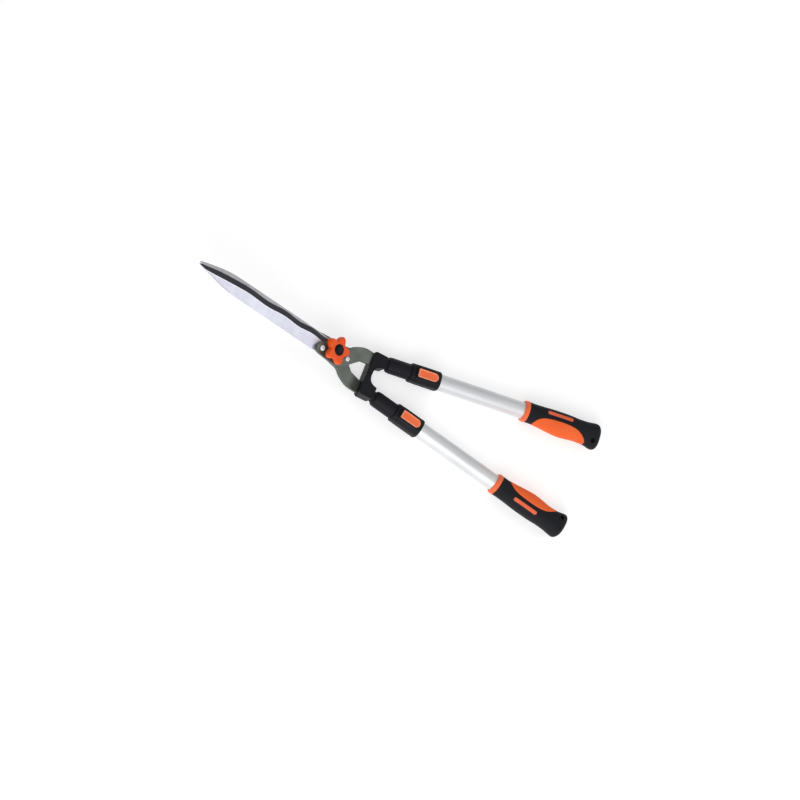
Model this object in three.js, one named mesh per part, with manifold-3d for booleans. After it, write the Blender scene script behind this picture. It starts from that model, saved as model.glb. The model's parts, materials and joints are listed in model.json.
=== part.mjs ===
// Telescopic hedge shears, millimetres, +Z up.
// The origin is the centre of the pivot bolt head's flat face. The two handles lie in one level plane
// below it, and the blades rise from the bend towards -X. The right half is on +Y.

import * as THREE from 'three';
import { mergeVertices } from 'three/addons/utils/BufferGeometryUtils.js';
import Module from 'manifold-3d';

const wasm = await Module();
wasm.setup();

// ---- driving dimensions -------------------------------------------------------------------------

const DEG = Math.PI / 180;
const CRANK = 18.4 * DEG;          // blades tipped up from the handle plane
const SPLAY = 8.4 * DEG;           // each handle turned out from the centre line
const FOOT = 22.8;                 // handle axis to centre line, at the bend
const BEND = 70.2;                 // pivot axis to the bend, along the blades
const GAP = 0.3;                   // clearance between neighbouring pieces

const BOLT_HEAD = 4.5;             // height of the bolt head below the stack
const ARM_THICK = 5;
const BLADE_THICK = 3;
const LAYER_GAP = 0.1;             // between clamped plates
const SHEAR_GAP = 0.3;             // between the two blades
const SHEAR_Z = BOLT_HEAD + ARM_THICK + BLADE_THICK + 2 * LAYER_GAP + SHEAR_GAP / 2;
const BOLT_RADIUS = 4;

const BLADE_TIP = -272;            // tip, along the blade's own X
const SPINE = -14.8;               // back of the right blade, across
const WAVE_START = -212;           // wavy edge runs from here to WAVE_END
const WAVE_END = -28;
const WAVE_HEIGHT = 1;
const BEVEL_WIDTH = 8.4;
const EDGE_THICK = 1.2;

const SLEEVE_START = 26.2;         // stations along a handle, from its foot at the bend
const COLLAR_START = 64;
const PEG_AT = 78;
const LOCK_PIN_AT = 86;
const TUBE_START = 88.6;
const COLLAR_END = 110.5;
const GRIP_START = 246.5;
const GRIP_END = 370.5;
const RING_LENGTH = 7;
const LOCK_PITCH = 50;
const LOCK_STEPS = 5;
const THROUGH = 30;                // reach of a cutter that goes right through

const OUTER_TUBE = { outside: 12.5, inside: 11.35, end: 355 };
const INNER_TUBE = { outside: 10.8, inside: 9.4, start: 38.3, end: 342 };
const SLEEVE_RADIUS = 12;
const COLLAR_HALF = 13.9;
const COLLAR_CORNER = 10.4;
const BUTTON = { start: 72.9, end: 104.5, half: 6.4, under: 15.3, top: 17.6 };
const BOSS = { ahead: 2.6, beside: 2.8, floor: 8, top: 16.8 };
const PEG = { tip: 11.1, tipRadius: 1.4, top: 16, radius: 2, tubeHole: 2.5, guideHole: 2.7 };
const PIN = { z: 15.6, radius: 0.95, hole: 1.25 };
const SPRING = { start: 92, end: 103, rise: 2.5, inside: 1.8, half: 2.5 };
const PAD_CORE = 14.1;             // radius of the core that the grip pad lies on
const POCKET_FLOOR = 13.7;
const BUMPER_HALF_HEIGHT = 11.5;
const GRIP_HALF_HEIGHT = 15.5;
const GRIP_SQUARENESS = 0.85;      // 1 is an ellipse
const ROUND = 24;                  // sides of a large round piece
const SMALL_ROUND = 14;

// ---- materials ----------------------------------------------------------------------------------

function material(color, roughness, metalness) {
  return new THREE.MeshStandardMaterial({ color, roughness, metalness });
}

const steel = () => material(0xe4e3ec, 0.25, 0.9);
const armSteel = () => material(0x5c615c, 0.5, 0.7);
const zinc = () => material(0xc9ccd0, 0.35, 0.9);
const aluminium = () => material(0xc4c6ca, 0.35, 0.85);
const blackPlastic = () => material(0x222126, 0.55, 0);
const blackRubber = () => material(0x26252a, 0.8, 0);
const orangePlastic = () => material(0xee5a22, 0.4, 0);
const orangeRubber = () => material(0xf4602c, 0.75, 0);
const brass = () => material(0xb89a55, 0.35, 0.9);

// ---- geometry helpers ---------------------------------------------------------------------------

function outward(geometry) {
  const index = geometry.index.array;
  const at = geometry.attributes.position;
  const [a, b, c] = [new THREE.Vector3(), new THREE.Vector3(), new THREE.Vector3()];
  let volume = 0;
  for (let i = 0; i < index.length; i += 3) {
    a.fromBufferAttribute(at, index[i]);
    b.fromBufferAttribute(at, index[i + 1]);
    c.fromBufferAttribute(at, index[i + 2]);
    volume += a.dot(b.cross(c));
  }
  if (volume < 0) {
    for (let i = 0; i < index.length; i += 3) {
      [index[i], index[i + 1]] = [index[i + 1], index[i]];
    }
  }
  return geometry;
}

function welded(geometry) {
  const bare = geometry.clone();
  bare.deleteAttribute('normal');
  bare.deleteAttribute('uv');
  return outward(mergeVertices(bare, 1e-4));
}

function solid(geometry) {
  const mesh = welded(geometry);
  return new wasm.Manifold(new wasm.Mesh({
    numProp: 3,
    vertProperties: new Float32Array(mesh.attributes.position.array),
    triVerts: new Uint32Array(mesh.index.array),
  }));
}

function join(...geometries) {
  return geometries.map(solid).reduce((sum, piece) => sum.add(piece));
}

function cut(body, ...tools) {
  return tools.reduce((rest, tool) => rest.subtract(tool), body);
}

function geometryOf(body) {
  const mesh = body.getMesh();
  const geometry = new THREE.BufferGeometry();
  geometry.setAttribute('position', new THREE.BufferAttribute(new Float32Array(mesh.vertProperties), 3));
  geometry.setIndex(new THREE.BufferAttribute(new Uint32Array(mesh.triVerts), 1));
  return geometry;
}

function box(x0, x1, y0, y1, z0, z1) {
  const geometry = new THREE.BoxGeometry(x1 - x0, y1 - y0, z1 - z0);
  return geometry.translate((x0 + x1) / 2, (y0 + y1) / 2, (z0 + z1) / 2);
}

// Turned about X. The profile is a closed loop of [station, radius] points, or starts and ends at radius 0.
function turned(profile, sides = ROUND) {
  const loop = profile.map(([station, radius]) => new THREE.Vector2(radius, station));
  if (profile[0][1] > 0) loop.push(loop[0].clone());
  return new THREE.LatheGeometry(loop, sides).rotateZ(-Math.PI / 2);
}

// Turned about Z, with the same kind of profile.
function upright(profile, sides = ROUND) {
  return turned(profile, sides).rotateY(-Math.PI / 2);
}

function rod(radius, z0, z1, x = 0, y = 0, sides = SMALL_ROUND) {
  return upright([[z0, 0], [z0, radius], [z1, radius], [z1, 0]], sides).translate(x, y, 0);
}

function crossRod(radius, half, x, z) {
  return rod(radius, -half, half).rotateX(Math.PI / 2).translate(x, 0, z);
}

// A flat piece of the given outline between two heights, with edges rounded by `round`.
function plate(shape, z0, z1, round = 0, steps = 2) {
  const geometry = new THREE.ExtrudeGeometry(shape, {
    depth: z1 - z0 - 2 * round,
    bevelEnabled: round > 0,
    bevelThickness: round,
    bevelSize: round,
    bevelOffset: -round,
    bevelSegments: steps,
    curveSegments: 6,
  });
  return geometry.translate(0, 0, z0 + round);
}

function polygon(points) {
  return new THREE.Shape(points.map(([x, y]) => new THREE.Vector2(x, y)));
}

function stadium(x0, x1, y, half, flatStart = false) {
  const shape = new THREE.Shape();
  shape.moveTo(x1 - half, y + half);
  if (flatStart) {
    shape.lineTo(x0, y + half);
    shape.lineTo(x0, y - half);
  } else {
    shape.absarc(x0 + half, y, half, Math.PI / 2, 1.5 * Math.PI);
  }
  shape.absarc(x1 - half, y, half, -Math.PI / 2, Math.PI / 2);
  return shape;
}

function mirrored(points, side) {
  return points.map(([x, y]) => [x, side * y]);
}

// ---- scene graph --------------------------------------------------------------------------------

const shears = new THREE.Group();

const bladeFrame = new THREE.Group();
bladeFrame.rotation.y = CRANK;
shears.add(bladeFrame);

const bendPoint = new THREE.Vector3(BEND, 0, SHEAR_Z).applyEuler(bladeFrame.rotation);

function handleGroup(side) {
  const group = new THREE.Group();
  group.position.set(bendPoint.x, side * FOOT, bendPoint.z);
  group.rotation.z = side * SPLAY;
  shears.add(group);
  return group;
}

function add(parent, name, finish, shape) {
  const geometry = shape.isBufferGeometry ? welded(shape) : geometryOf(shape);
  geometry.computeVertexNormals();
  const mesh = new THREE.Mesh(geometry, finish);
  mesh.name = name;
  parent.add(mesh);
}

// ---- blades -------------------------------------------------------------------------------------

// Height of the wavy cutting edge: the waves get shorter towards the heel.
function edgeAt(x) {
  const along = (x - WAVE_START) / (WAVE_END - WAVE_START);
  const rise = 8.3 + 4.6 * along - 0.6 * along ** 2;
  return rise + WAVE_HEIGHT * Math.sin(2 * Math.PI * (1.55 * along + 1.1 * along ** 2 - 0.1));
}

function wave(offset, count = 24) {
  const points = [];
  for (let i = 0; i <= count; i++) {
    const x = WAVE_START + ((WAVE_END - WAVE_START) * i) / count;
    points.push([x, edgeAt(x) - offset]);
  }
  return points;
}

const HEEL = [[-18, 11], [0, 12], [16, 9.5], [29, 6.6], [35, 0], [30, -7], [20, -12]];
const BACK = [
  [-24, SPINE], [-198, SPINE], [-215, -13.7], [-230, -11.5], [-245, -8.7], [-258, -6], [-270, -2.9],
];
const POINT = [[BLADE_TIP, -2], [BLADE_TIP + 1, -1.2], [-258, 1.3], [-235, 5.2]];

// The right blade lies on the shear plane; its back is at -Y and its edge at +Y.
function bladeSolid() {
  const lower = SHEAR_GAP / 2;
  const whole = polygon([...POINT, ...wave(0), ...HEEL, [0, SPINE], ...BACK]);
  const thick = polygon([[-235, -2.6], ...wave(BEVEL_WIDTH), ...HEEL, [0, SPINE], ...BACK.slice(0, -1)]);
  const body = join(plate(whole, lower, lower + EDGE_THICK), plate(thick, lower, lower + BLADE_THICK));
  const hole = solid(rod(BOLT_RADIUS + GAP, 0, 2 * BLADE_THICK));
  const rivetHoles = RIVETS.map(({ x, y, shank }) => solid(rod(shank + GAP, 0, 2 * BLADE_THICK, x, y)));
  return cut(body, hole, ...rivetHoles);
}

// ---- arms ---------------------------------------------------------------------------------------

const RIVETS = [
  { name: 'front_rivet', x: -20.3, y: -7.3, shank: 2.4, head: 4 },
  { name: 'rear_rivet', x: 28, y: 0, shank: 2, head: 3.4 },
];
const ARM_BASE = SHEAR_GAP / 2 + BLADE_THICK + LAYER_GAP;
const ARM_TOP = ARM_BASE + ARM_THICK;
const SHANK = { end: 17, half: 8 };
const SLOT_ROOM = 0.4;
const TAIL = { start: 10, end: 50, half: 5, low: -1, high: 4 };

function armOutline(end) {
  return polygon([
    [-29.5, -4.5], [-31, -9], [-29.2, -13.4], [-24, -16.2], [2, -18.2], [14, -18], [22, -15.4],
    [29, -11.2], [33, -7.6], [37.2, -3.6], [42, 0.6], [47, 4.9], [51.2, 8.2], [56, 9.4], [62, 10.6],
    [end, 12.2], [end, 31.1], [62, 31.2], [52, 30.4], [42, 27], [33, 22.4], [26, 17.2], [12, 14.6],
    [-6, 11], [-18, 3.6], [-25.5, 0.2],
  ]);
}

// The flat of the arm and its rivet holes, on the right blade.
function armPlate(end) {
  const flat = solid(plate(armOutline(end), ARM_BASE, ARM_TOP, 0.5, 1));
  const holes = RIVETS.map(({ x, y, shank }) => solid(rod(shank + GAP, 0, 2 * ARM_TOP, x, y)));
  return cut(flat, ...holes);
}

// The bent end of the arm, in the handle's own frame, running into the bumper and the sleeve.
function armShank(side) {
  const level = side > 0 ? [ARM_BASE, ARM_TOP] : [-ARM_TOP, -ARM_BASE];
  const tail = side > 0 ? [TAIL.low, TAIL.high] : [-TAIL.high, -TAIL.low];
  const start = side > 0 ? -0.3 : -2.2;
  return join(
    box(start, SHANK.end, -SHANK.half, SHANK.half, ...level),
    box(TAIL.start, TAIL.end, -TAIL.half, TAIL.half, ...tail),
  );
}

// ---- handle front: bumper, sleeve and inner tube ------------------------------------------------

// Plan of the right bumper about the bend, square to the centre line.
const BUMPER_PLAN = [
  [0.7, 0.2], [0.7, 29.8], [1.8, 32.8], [4.2, 34.3], [21.2, 34.3], [23, 33.5], [23.6, 31.8],
  [23.6, 15.4], [21.4, 15], [18, 14.2], [14.4, 12.4], [11.6, 9.8], [10, 6.6], [9.4, 3], [9.4, 0.2],
];

function bumperSolid(side) {
  const block = plate(polygon(mirrored(BUMPER_PLAN, side)), -BUMPER_HALF_HEIGHT, BUMPER_HALF_HEIGHT);
  block.translate(0, -side * FOOT, 0).rotateZ(-side * SPLAY);
  const [shankLow, shankHigh] = side > 0 ? [ARM_BASE, ARM_TOP] : [-ARM_TOP, -ARM_BASE];
  const [tailLow, tailHigh] = side > 0 ? [TAIL.low, TAIL.high] : [-TAIL.high, -TAIL.low];
  const [mouthRight, mouthLeft] = side > 0 ? [-11.2, 9.3] : [-9.3, 11.2];
  return cut(
    solid(block),
    solid(box(-8, 3, mouthRight, mouthLeft, shankLow - SLOT_ROOM, shankHigh + 1)),
    solid(box(
      0, SHANK.end + GAP, -SHANK.half - GAP, SHANK.half + GAP, shankLow - SLOT_ROOM, shankHigh + SLOT_ROOM,
    )),
    solid(box(0, TAIL.end, -TAIL.half - GAP, TAIL.half + GAP, tailLow - GAP, tailHigh + GAP)),
  );
}

function sleeveSolid(side) {
  const groove = INNER_TUBE.outside + GAP;
  const core = INNER_TUBE.inside - GAP;
  const rear = COLLAR_START - 0.4;
  const body = solid(turned([
    [SLEEVE_START, 0], [SLEEVE_START, 8.3], [27.4, 8.3], [28.4, 10], [30, 11.3], [32.4, SLEEVE_RADIUS],
    [rear, SLEEVE_RADIUS], [rear, groove], [INNER_TUBE.start - GAP, groove], [INNER_TUBE.start - GAP, core],
    [60, core], [60, 0],
  ]));
  const [low, high] = side > 0 ? [TAIL.low, TAIL.high] : [-TAIL.high, -TAIL.low];
  return body.subtract(solid(
    box(20, TAIL.end + 1, -TAIL.half - GAP, TAIL.half + GAP, low - GAP, high + GAP),
  ));
}

function innerTubeSolid() {
  const { outside, inside, start, end } = INNER_TUBE;
  const tube = solid(turned([[start, inside], [end, inside], [end, outside], [start, outside]]));
  const holes = [];
  for (let i = 0; i < LOCK_STEPS; i++) {
    holes.push(solid(rod(PEG.tubeHole, 0, 2 * outside, PEG_AT + i * LOCK_PITCH)));
  }
  return cut(tube, ...holes);
}

function tubeBush() {
  const { inside, end } = INNER_TUBE;
  const rim = OUTER_TUBE.inside - GAP;
  return turned([
    [end - 10, 5], [end - 10, inside - GAP], [end + GAP, inside - GAP], [end + GAP, rim], [end + 4, rim],
    [end + 4, 5],
  ]);
}

// ---- telescopic lock ----------------------------------------------------------------------------

const BUTTON_ROOM = 0.4;

// The button's outline, larger by the given lengths.
function buttonPlan(ahead, beside) {
  return stadium(BUTTON.start - ahead, BUTTON.end + ahead, 0, BUTTON.half + beside, true);
}

function collarSolid() {
  const flat = COLLAR_HALF - COLLAR_CORNER;
  const section = new THREE.Shape();
  section.absarc(flat, flat, COLLAR_CORNER, 0, Math.PI / 2);
  section.absarc(-flat, flat, COLLAR_CORNER, Math.PI / 2, Math.PI);
  section.absarc(-flat, -flat, COLLAR_CORNER, Math.PI, 1.5 * Math.PI);
  section.absarc(flat, -flat, COLLAR_CORNER, 1.5 * Math.PI, 2 * Math.PI);
  const main = plate(section, COLLAR_START, COLLAR_END, 0.8, 1).rotateX(Math.PI / 2).rotateZ(Math.PI / 2);
  const boss = plate(buttonPlan(BOSS.ahead, BOSS.beside), BOSS.floor, BOSS.top, 0.6, 1);
  const pocket = plate(buttonPlan(BUTTON_ROOM, BUTTON_ROOM), POCKET_FLOOR, THROUGH);
  const tubeBore = OUTER_TUBE.outside + GAP;
  const guideBore = INNER_TUBE.outside + GAP;
  const bore = turned([
    [COLLAR_START - 1, 0], [COLLAR_START - 1, guideBore], [TUBE_START - GAP, guideBore],
    [TUBE_START - GAP, tubeBore], [COLLAR_END + 1, tubeBore], [COLLAR_END + 1, 0],
  ]);
  return cut(
    join(main, boss),
    solid(bore),
    solid(pocket),
    solid(rod(PEG.guideHole, 9, PEG.top, PEG_AT)),
    pinHole(),
  );
}

function pinHole() {
  return solid(crossRod(PIN.hole, BUTTON.half + BOSS.beside + 2.8, LOCK_PIN_AT, PIN.z));
}

function buttonSolid() {
  const { half, under, top } = BUTTON;
  const cap = plate(buttonPlan(0, 0), under, top, 0.5, 2);
  const hub = box(LOCK_PIN_AT - 3, LOCK_PIN_AT + 3, -half + 0.6, half - 0.6, 14, under + 1);
  const seat = rod(3.2, 14.2, under + 1, PEG_AT);
  return cut(join(cap, hub, seat), pinHole(), solid(rod(PEG.radius + GAP, 13, PEG.top + GAP, PEG_AT)));
}

function lockPeg() {
  const { tip, tipRadius, top, radius } = PEG;
  const profile = [[tip, 0], [tip, tipRadius], [tip + radius - tipRadius, radius], [top, radius], [top, 0]];
  return upright(profile, SMALL_ROUND).translate(PEG_AT, 0, 0);
}

// A bowed leaf: the strip between two arcs.
function lockSpring() {
  const { start, end, rise, inside, half } = SPRING;
  const middle = (start + end) / 2;
  const foot = POCKET_FLOOR + 0.1;
  const strip = new THREE.Shape();
  strip.moveTo(start, foot);
  strip.quadraticCurveTo(middle, POCKET_FLOOR + rise, end, foot);
  strip.lineTo(end - 0.4, foot);
  strip.quadraticCurveTo(middle, POCKET_FLOOR + inside, start + 0.4, foot);
  return plate(strip, -half, half).rotateX(Math.PI / 2);
}

// ---- grips --------------------------------------------------------------------------------------

// Sections of the right grip: station, reach to the outer side (+Y), reach to the belly (-Y), half height.
const GRIP_SECTIONS = [
  [GRIP_START + RING_LENGTH + GAP, 15, 15, 15], [263.5, 14.6, 14.9, 14.8], [277, 14.9, 16.2, 15],
  [296, 15.6, 19, 15.4], [310.5, 15.6, 20.2, 15.5], [322.5, 15.2, 19.5, 15.4],
  [336.5, 14.3, 18.4, 15.1], [346.5, 14.4, 18.9, 15.1], [355, 15.3, 20.8, 15.4],
  [361, 16.1, 22.6, 15.6], [365, 15.4, 22.7, 14.8], [368, 12.4, 20.4, 12.6], [370, 7.5, 16, 9],
  [GRIP_END, 1.5, 10, 4.6],
];
const PAD_PLAN = [
  [265.5, -30], [264.5, -15], [267.5, -10.5], [271.5, -6.6], [278, -3.8], [286, -2.2], [294, -1.4],
  [306, -1], [318.5, -1.6], [329.5, -3.8], [338, -8], [343.5, -12.4], [347, -16], [349, -20],
  [349.5, -30],
];
const INLAY = { start: 281.5, end: 322, y: 6.5, half: 2.7, depth: 1.1 };
const HANG_HOLE = { x: 358.5, y: -12.5, radius: 3.4 };

// A closed cylinder whose rings are stretched to the grip's sections, squarer than an ellipse.
function gripBody(side) {
  const rows = 1.5 * (GRIP_SECTIONS.length - 1);
  const reach = new THREE.CatmullRomCurve3(GRIP_SECTIONS.map(([, out, inside, half]) => (
    new THREE.Vector3(out, inside, half))));
  const stations = new THREE.CatmullRomCurve3(GRIP_SECTIONS.map(([station]) => new THREE.Vector3(station)));
  const geometry = welded(new THREE.CylinderGeometry(1, 1, 1, 28, rows));
  const at = geometry.attributes.position;
  for (let i = 0; i < at.count; i++) {
    const along = at.getY(i) + 0.5;
    const section = reach.getPoint(along);
    const angle = Math.atan2(at.getZ(i), at.getX(i));
    const rim = Math.hypot(at.getX(i), at.getZ(i));
    const across = rim * Math.sign(Math.cos(angle)) * Math.abs(Math.cos(angle)) ** GRIP_SQUARENESS;
    const up = rim * Math.sign(Math.sin(angle)) * Math.abs(Math.sin(angle)) ** GRIP_SQUARENESS;
    const width = across > 0 ? section.x : section.y;
    at.setXYZ(i, stations.getPoint(along).x, side * across * width, up * section.z);
  }
  return solid(geometry);
}

function padPrism(side, clearance) {
  const shape = polygon(mirrored(PAD_PLAN, side));
  const prism = solid(plate(shape, -THROUGH, THROUGH));
  return clearance > 0 ? prism.add(prism.translate(0, side * clearance, 0)) : prism;
}

function roundCore(radius) {
  return solid(turned([[0, 0], [0, radius], [400, radius], [400, 0]]));
}

function inlayPlate(side, clearance) {
  const { start, end, y, half, depth } = INLAY;
  const shape = stadium(start - clearance, end + clearance, side * y, half + clearance);
  return solid(plate(shape, GRIP_HALF_HEIGHT - depth - clearance, GRIP_HALF_HEIGHT + 0.2));
}

function gripCore(side) {
  const radius = OUTER_TUBE.outside + GAP;
  const end = OUTER_TUBE.end + GAP;
  const bore = turned([[0, 0], [0, radius], [end, radius], [end, 0]]);
  const padRoom = padPrism(side, GAP).subtract(roundCore(PAD_CORE - GAP));
  const hole = solid(rod(HANG_HOLE.radius, -THROUGH, THROUGH, HANG_HOLE.x, side * HANG_HOLE.y));
  return cut(gripBody(side), solid(bore), padRoom, inlayPlate(side, GAP), hole);
}

function gripPad(side) {
  return gripBody(side).intersect(padPrism(side, 0).subtract(roundCore(PAD_CORE)));
}

function gripRing() {
  const inner = OUTER_TUBE.outside + GAP;
  const end = GRIP_START + RING_LENGTH;
  return turned([
    [GRIP_START, inner], [end, inner], [end, 15.8], [GRIP_START + 2, 15.8], [GRIP_START + 0.6, 15.2],
    [GRIP_START, 14.2],
  ]);
}

// ---- pivot --------------------------------------------------------------------------------------

const KNOB = { base: 24.6, top: 33.6, recess: 8.4, mean: 17.6, lobe: 3.6, lobes: 5, turn: 14.8 * DEG };
const NUT = { base: 25, top: 31, radius: 7.2 };
const BOLT_TOP = 31.6;
const NECK = 4;

function knobOutline() {
  const points = [];
  const count = 50;
  for (let i = 0; i < count; i++) {
    const angle = (2 * Math.PI * i) / count;
    const radius = KNOB.mean + KNOB.lobe * Math.cos(KNOB.lobes * (angle - KNOB.turn));
    points.push([radius * Math.cos(angle), radius * Math.sin(angle)]);
  }
  return polygon(points);
}

function knobSolid() {
  return cut(
    solid(plate(knobOutline(), KNOB.base, KNOB.top, 1.4, 2)),
    solid(rod(NUT.radius + GAP, KNOB.base - 1, NUT.top + GAP, 0, 0, 6)),
    solid(rod(KNOB.recess, NUT.top + GAP - 0.1, KNOB.top + 1, 0, 0, ROUND)),
  );
}

function knobNut() {
  return solid(rod(NUT.radius, NUT.base, NUT.top, 0, 0, 6)).subtract(solid(rod(BOLT_RADIUS + GAP, 20, 40)));
}

function knobCap() {
  const base = BOLT_TOP + GAP;
  return upright([[base, 0], [base, 8], [34.6, 8], [35.6, 6.8], [36, 4.6], [36.1, 0]], ROUND);
}

function washer(z0, z1, outside) {
  const inside = BOLT_RADIUS + GAP;
  return upright([[z0, inside], [z1, inside], [z1, outside], [z0, outside]], ROUND);
}

function pivotBolt() {
  return join(
    upright([[0, 0], [0, 8.4], [0.8, 9], [3, 9], [BOLT_HEAD, 7.4], [BOLT_HEAD, 0]]),
    box(-NECK, NECK, -NECK, NECK, BOLT_HEAD - 0.5, BOLT_HEAD + ARM_THICK),
    rod(BOLT_RADIUS, BOLT_HEAD, BOLT_TOP),
  );
}

// ---- assembly -----------------------------------------------------------------------------------

add(bladeFrame, 'pivot_bolt', zinc(), pivotBolt());
add(bladeFrame, 'flat_washer', zinc(), washer(21.5, 22.9, 10));
add(bladeFrame, 'spring_washer', zinc(), washer(23.1, 24.4, 7.4));
add(bladeFrame, 'knob', orangePlastic(), knobSolid());
add(bladeFrame, 'knob_nut', brass(), knobNut());
add(bladeFrame, 'knob_cap', blackPlastic(), knobCap());

// Right pieces sit above the shear plane; left ones are the same, turned over about the blades' axis.
function onBladeFrame(body, side) {
  const geometry = body.isBufferGeometry ? body : geometryOf(body);
  if (side < 0) geometry.rotateX(Math.PI);
  return geometry.translate(0, 0, SHEAR_Z);
}

function rivet({ x, y, shank, head }) {
  const top = ARM_TOP + LAYER_GAP;
  return upright([
    [0.5, 0], [0.5, shank], [top, shank], [top, head], [top + 0.7, head], [top + 1.8, head * 0.7],
    [top + 2.3, 0],
  ], SMALL_ROUND).translate(x, y, 0);
}

// The arm is joined from its flat, in the blades' frame, and its shank, in the handle's frame.
function armSolid(side, handle) {
  const end = BEND + (side > 0 ? -1.2 : 1);
  handle.updateMatrix();
  bladeFrame.updateMatrix();
  const toBlade = bladeFrame.matrix.clone().invert().multiply(handle.matrix);
  const shank = geometryOf(armShank(side)).applyMatrix4(toBlade);
  const flat = onBladeFrame(armPlate(end), side);
  const hole = side > 0
    ? rod(BOLT_RADIUS + GAP, 0, 40)
    : box(-NECK - GAP, NECK + GAP, -NECK - GAP, NECK + GAP, 0, 40);
  return join(flat, shank).subtract(solid(hole));
}

for (const [name, side] of [['right', 1], ['left', -1]]) {
  const handle = handleGroup(side);
  add(bladeFrame, `${name}_blade`, steel(), onBladeFrame(bladeSolid(), side));
  add(bladeFrame, `${name}_arm`, armSteel(), armSolid(side, handle));
  for (const item of RIVETS) {
    add(bladeFrame, `${name}_${item.name}`, steel(), onBladeFrame(rivet(item), side));
  }
  add(handle, `${name}_bumper`, blackPlastic(), bumperSolid(side));
  add(handle, `${name}_sleeve`, blackPlastic(), sleeveSolid(side));
  add(handle, `${name}_inner_tube`, aluminium(), innerTubeSolid());
  add(handle, `${name}_tube_bush`, blackPlastic(), tubeBush());
  add(handle, `${name}_lock_collar`, blackPlastic(), collarSolid());
  add(handle, `${name}_lock_button`, orangePlastic(), buttonSolid());
  add(handle, `${name}_lock_peg`, zinc(), lockPeg());
  add(handle, `${name}_lock_pin`, zinc(), crossRod(PIN.radius, BUTTON.half + 2.4, LOCK_PIN_AT, PIN.z));
  add(handle, `${name}_lock_spring`, steel(), lockSpring());
  add(handle, `${name}_outer_tube`, aluminium(), turned([
    [TUBE_START, OUTER_TUBE.inside], [OUTER_TUBE.end, OUTER_TUBE.inside],
    [OUTER_TUBE.end, OUTER_TUBE.outside], [TUBE_START, OUTER_TUBE.outside],
  ]));
  add(handle, `${name}_grip_ring`, orangePlastic(), gripRing());
  add(handle, `${name}_grip_core`, blackRubber(), gripCore(side));
  add(handle, `${name}_grip_pad`, orangeRubber(), gripPad(side));
  add(handle, `${name}_grip_inlay`, orangeRubber(), inlayPlate(side, 0));
}

export default shears;
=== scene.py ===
import json
import math

import bmesh
import bpy
import numpy as np
from mathutils import Matrix, Vector


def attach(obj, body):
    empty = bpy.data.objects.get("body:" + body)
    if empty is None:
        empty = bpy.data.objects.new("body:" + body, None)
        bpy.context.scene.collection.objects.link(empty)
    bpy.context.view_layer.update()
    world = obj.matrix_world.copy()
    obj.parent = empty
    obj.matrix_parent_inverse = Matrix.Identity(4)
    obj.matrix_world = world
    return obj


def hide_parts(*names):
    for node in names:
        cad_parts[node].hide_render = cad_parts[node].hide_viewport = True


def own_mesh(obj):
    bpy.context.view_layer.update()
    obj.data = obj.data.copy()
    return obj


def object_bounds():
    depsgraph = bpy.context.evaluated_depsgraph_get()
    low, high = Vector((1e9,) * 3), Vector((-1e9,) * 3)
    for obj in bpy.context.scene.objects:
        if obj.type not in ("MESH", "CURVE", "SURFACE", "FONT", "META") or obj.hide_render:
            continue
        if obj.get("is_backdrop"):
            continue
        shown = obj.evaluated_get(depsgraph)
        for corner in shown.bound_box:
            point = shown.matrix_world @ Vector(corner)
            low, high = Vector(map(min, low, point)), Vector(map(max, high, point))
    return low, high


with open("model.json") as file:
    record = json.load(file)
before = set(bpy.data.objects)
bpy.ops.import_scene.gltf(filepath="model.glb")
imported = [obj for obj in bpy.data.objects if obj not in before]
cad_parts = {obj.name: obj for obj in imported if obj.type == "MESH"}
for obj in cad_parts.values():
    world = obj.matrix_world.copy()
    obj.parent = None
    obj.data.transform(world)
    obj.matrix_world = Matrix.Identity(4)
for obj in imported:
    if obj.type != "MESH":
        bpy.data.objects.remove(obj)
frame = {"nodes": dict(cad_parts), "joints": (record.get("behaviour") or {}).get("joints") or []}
cad_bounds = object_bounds()
scene = bpy.context.scene

# ---- frames of the object: lengths below are millimetres in one of these ----------------------------

MM = 0.001


def joint_axis(name):
    return Vector(next(j["axis"] for j in frame["joints"] if j["name"] == name))


pivot_axis = joint_axis("blade_pivot")
slide_axis = joint_axis("right_telescope")
CRANK = math.atan2(pivot_axis.x, pivot_axis.z)
SPLAY = math.atan2(slide_axis.y, slide_axis.x)
SHEAR_Z = 12.85
BEND = 70.2
FOOT = 22.8
SIDES = (("right", 1), ("left", -1))

BLADES = Matrix.Rotation(CRANK, 4, "Y")
BEND_POINT = BLADES @ Vector((BEND, 0, SHEAR_Z))


def in_metres(matrix):
    placed = matrix.copy()
    placed.translation = matrix.translation * MM
    return placed


def on_blades(side):
    """The shear plane's frame; the left pieces are the right ones turned over."""
    turned_over = Matrix.Rotation(0 if side > 0 else math.pi, 4, "X")
    return in_metres(BLADES @ Matrix.Translation((0, 0, SHEAR_Z)) @ turned_over)


def on_handle(side):
    foot = Matrix.Translation((BEND_POINT.x, side * FOOT, BEND_POINT.z))
    return in_metres(foot @ Matrix.Rotation(side * SPLAY, 4, "Z"))


def on_bend():
    return in_metres(Matrix.Translation(BEND_POINT))


# ---- materials ------------------------------------------------------------------------------------


def srgb(red, green, blue):
    def linear(value):
        share = value / 255
        return share / 12.92 if share <= 0.04045 else ((share + 0.055) / 1.055) ** 2.4

    return linear(red), linear(green), linear(blue), 1


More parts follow.
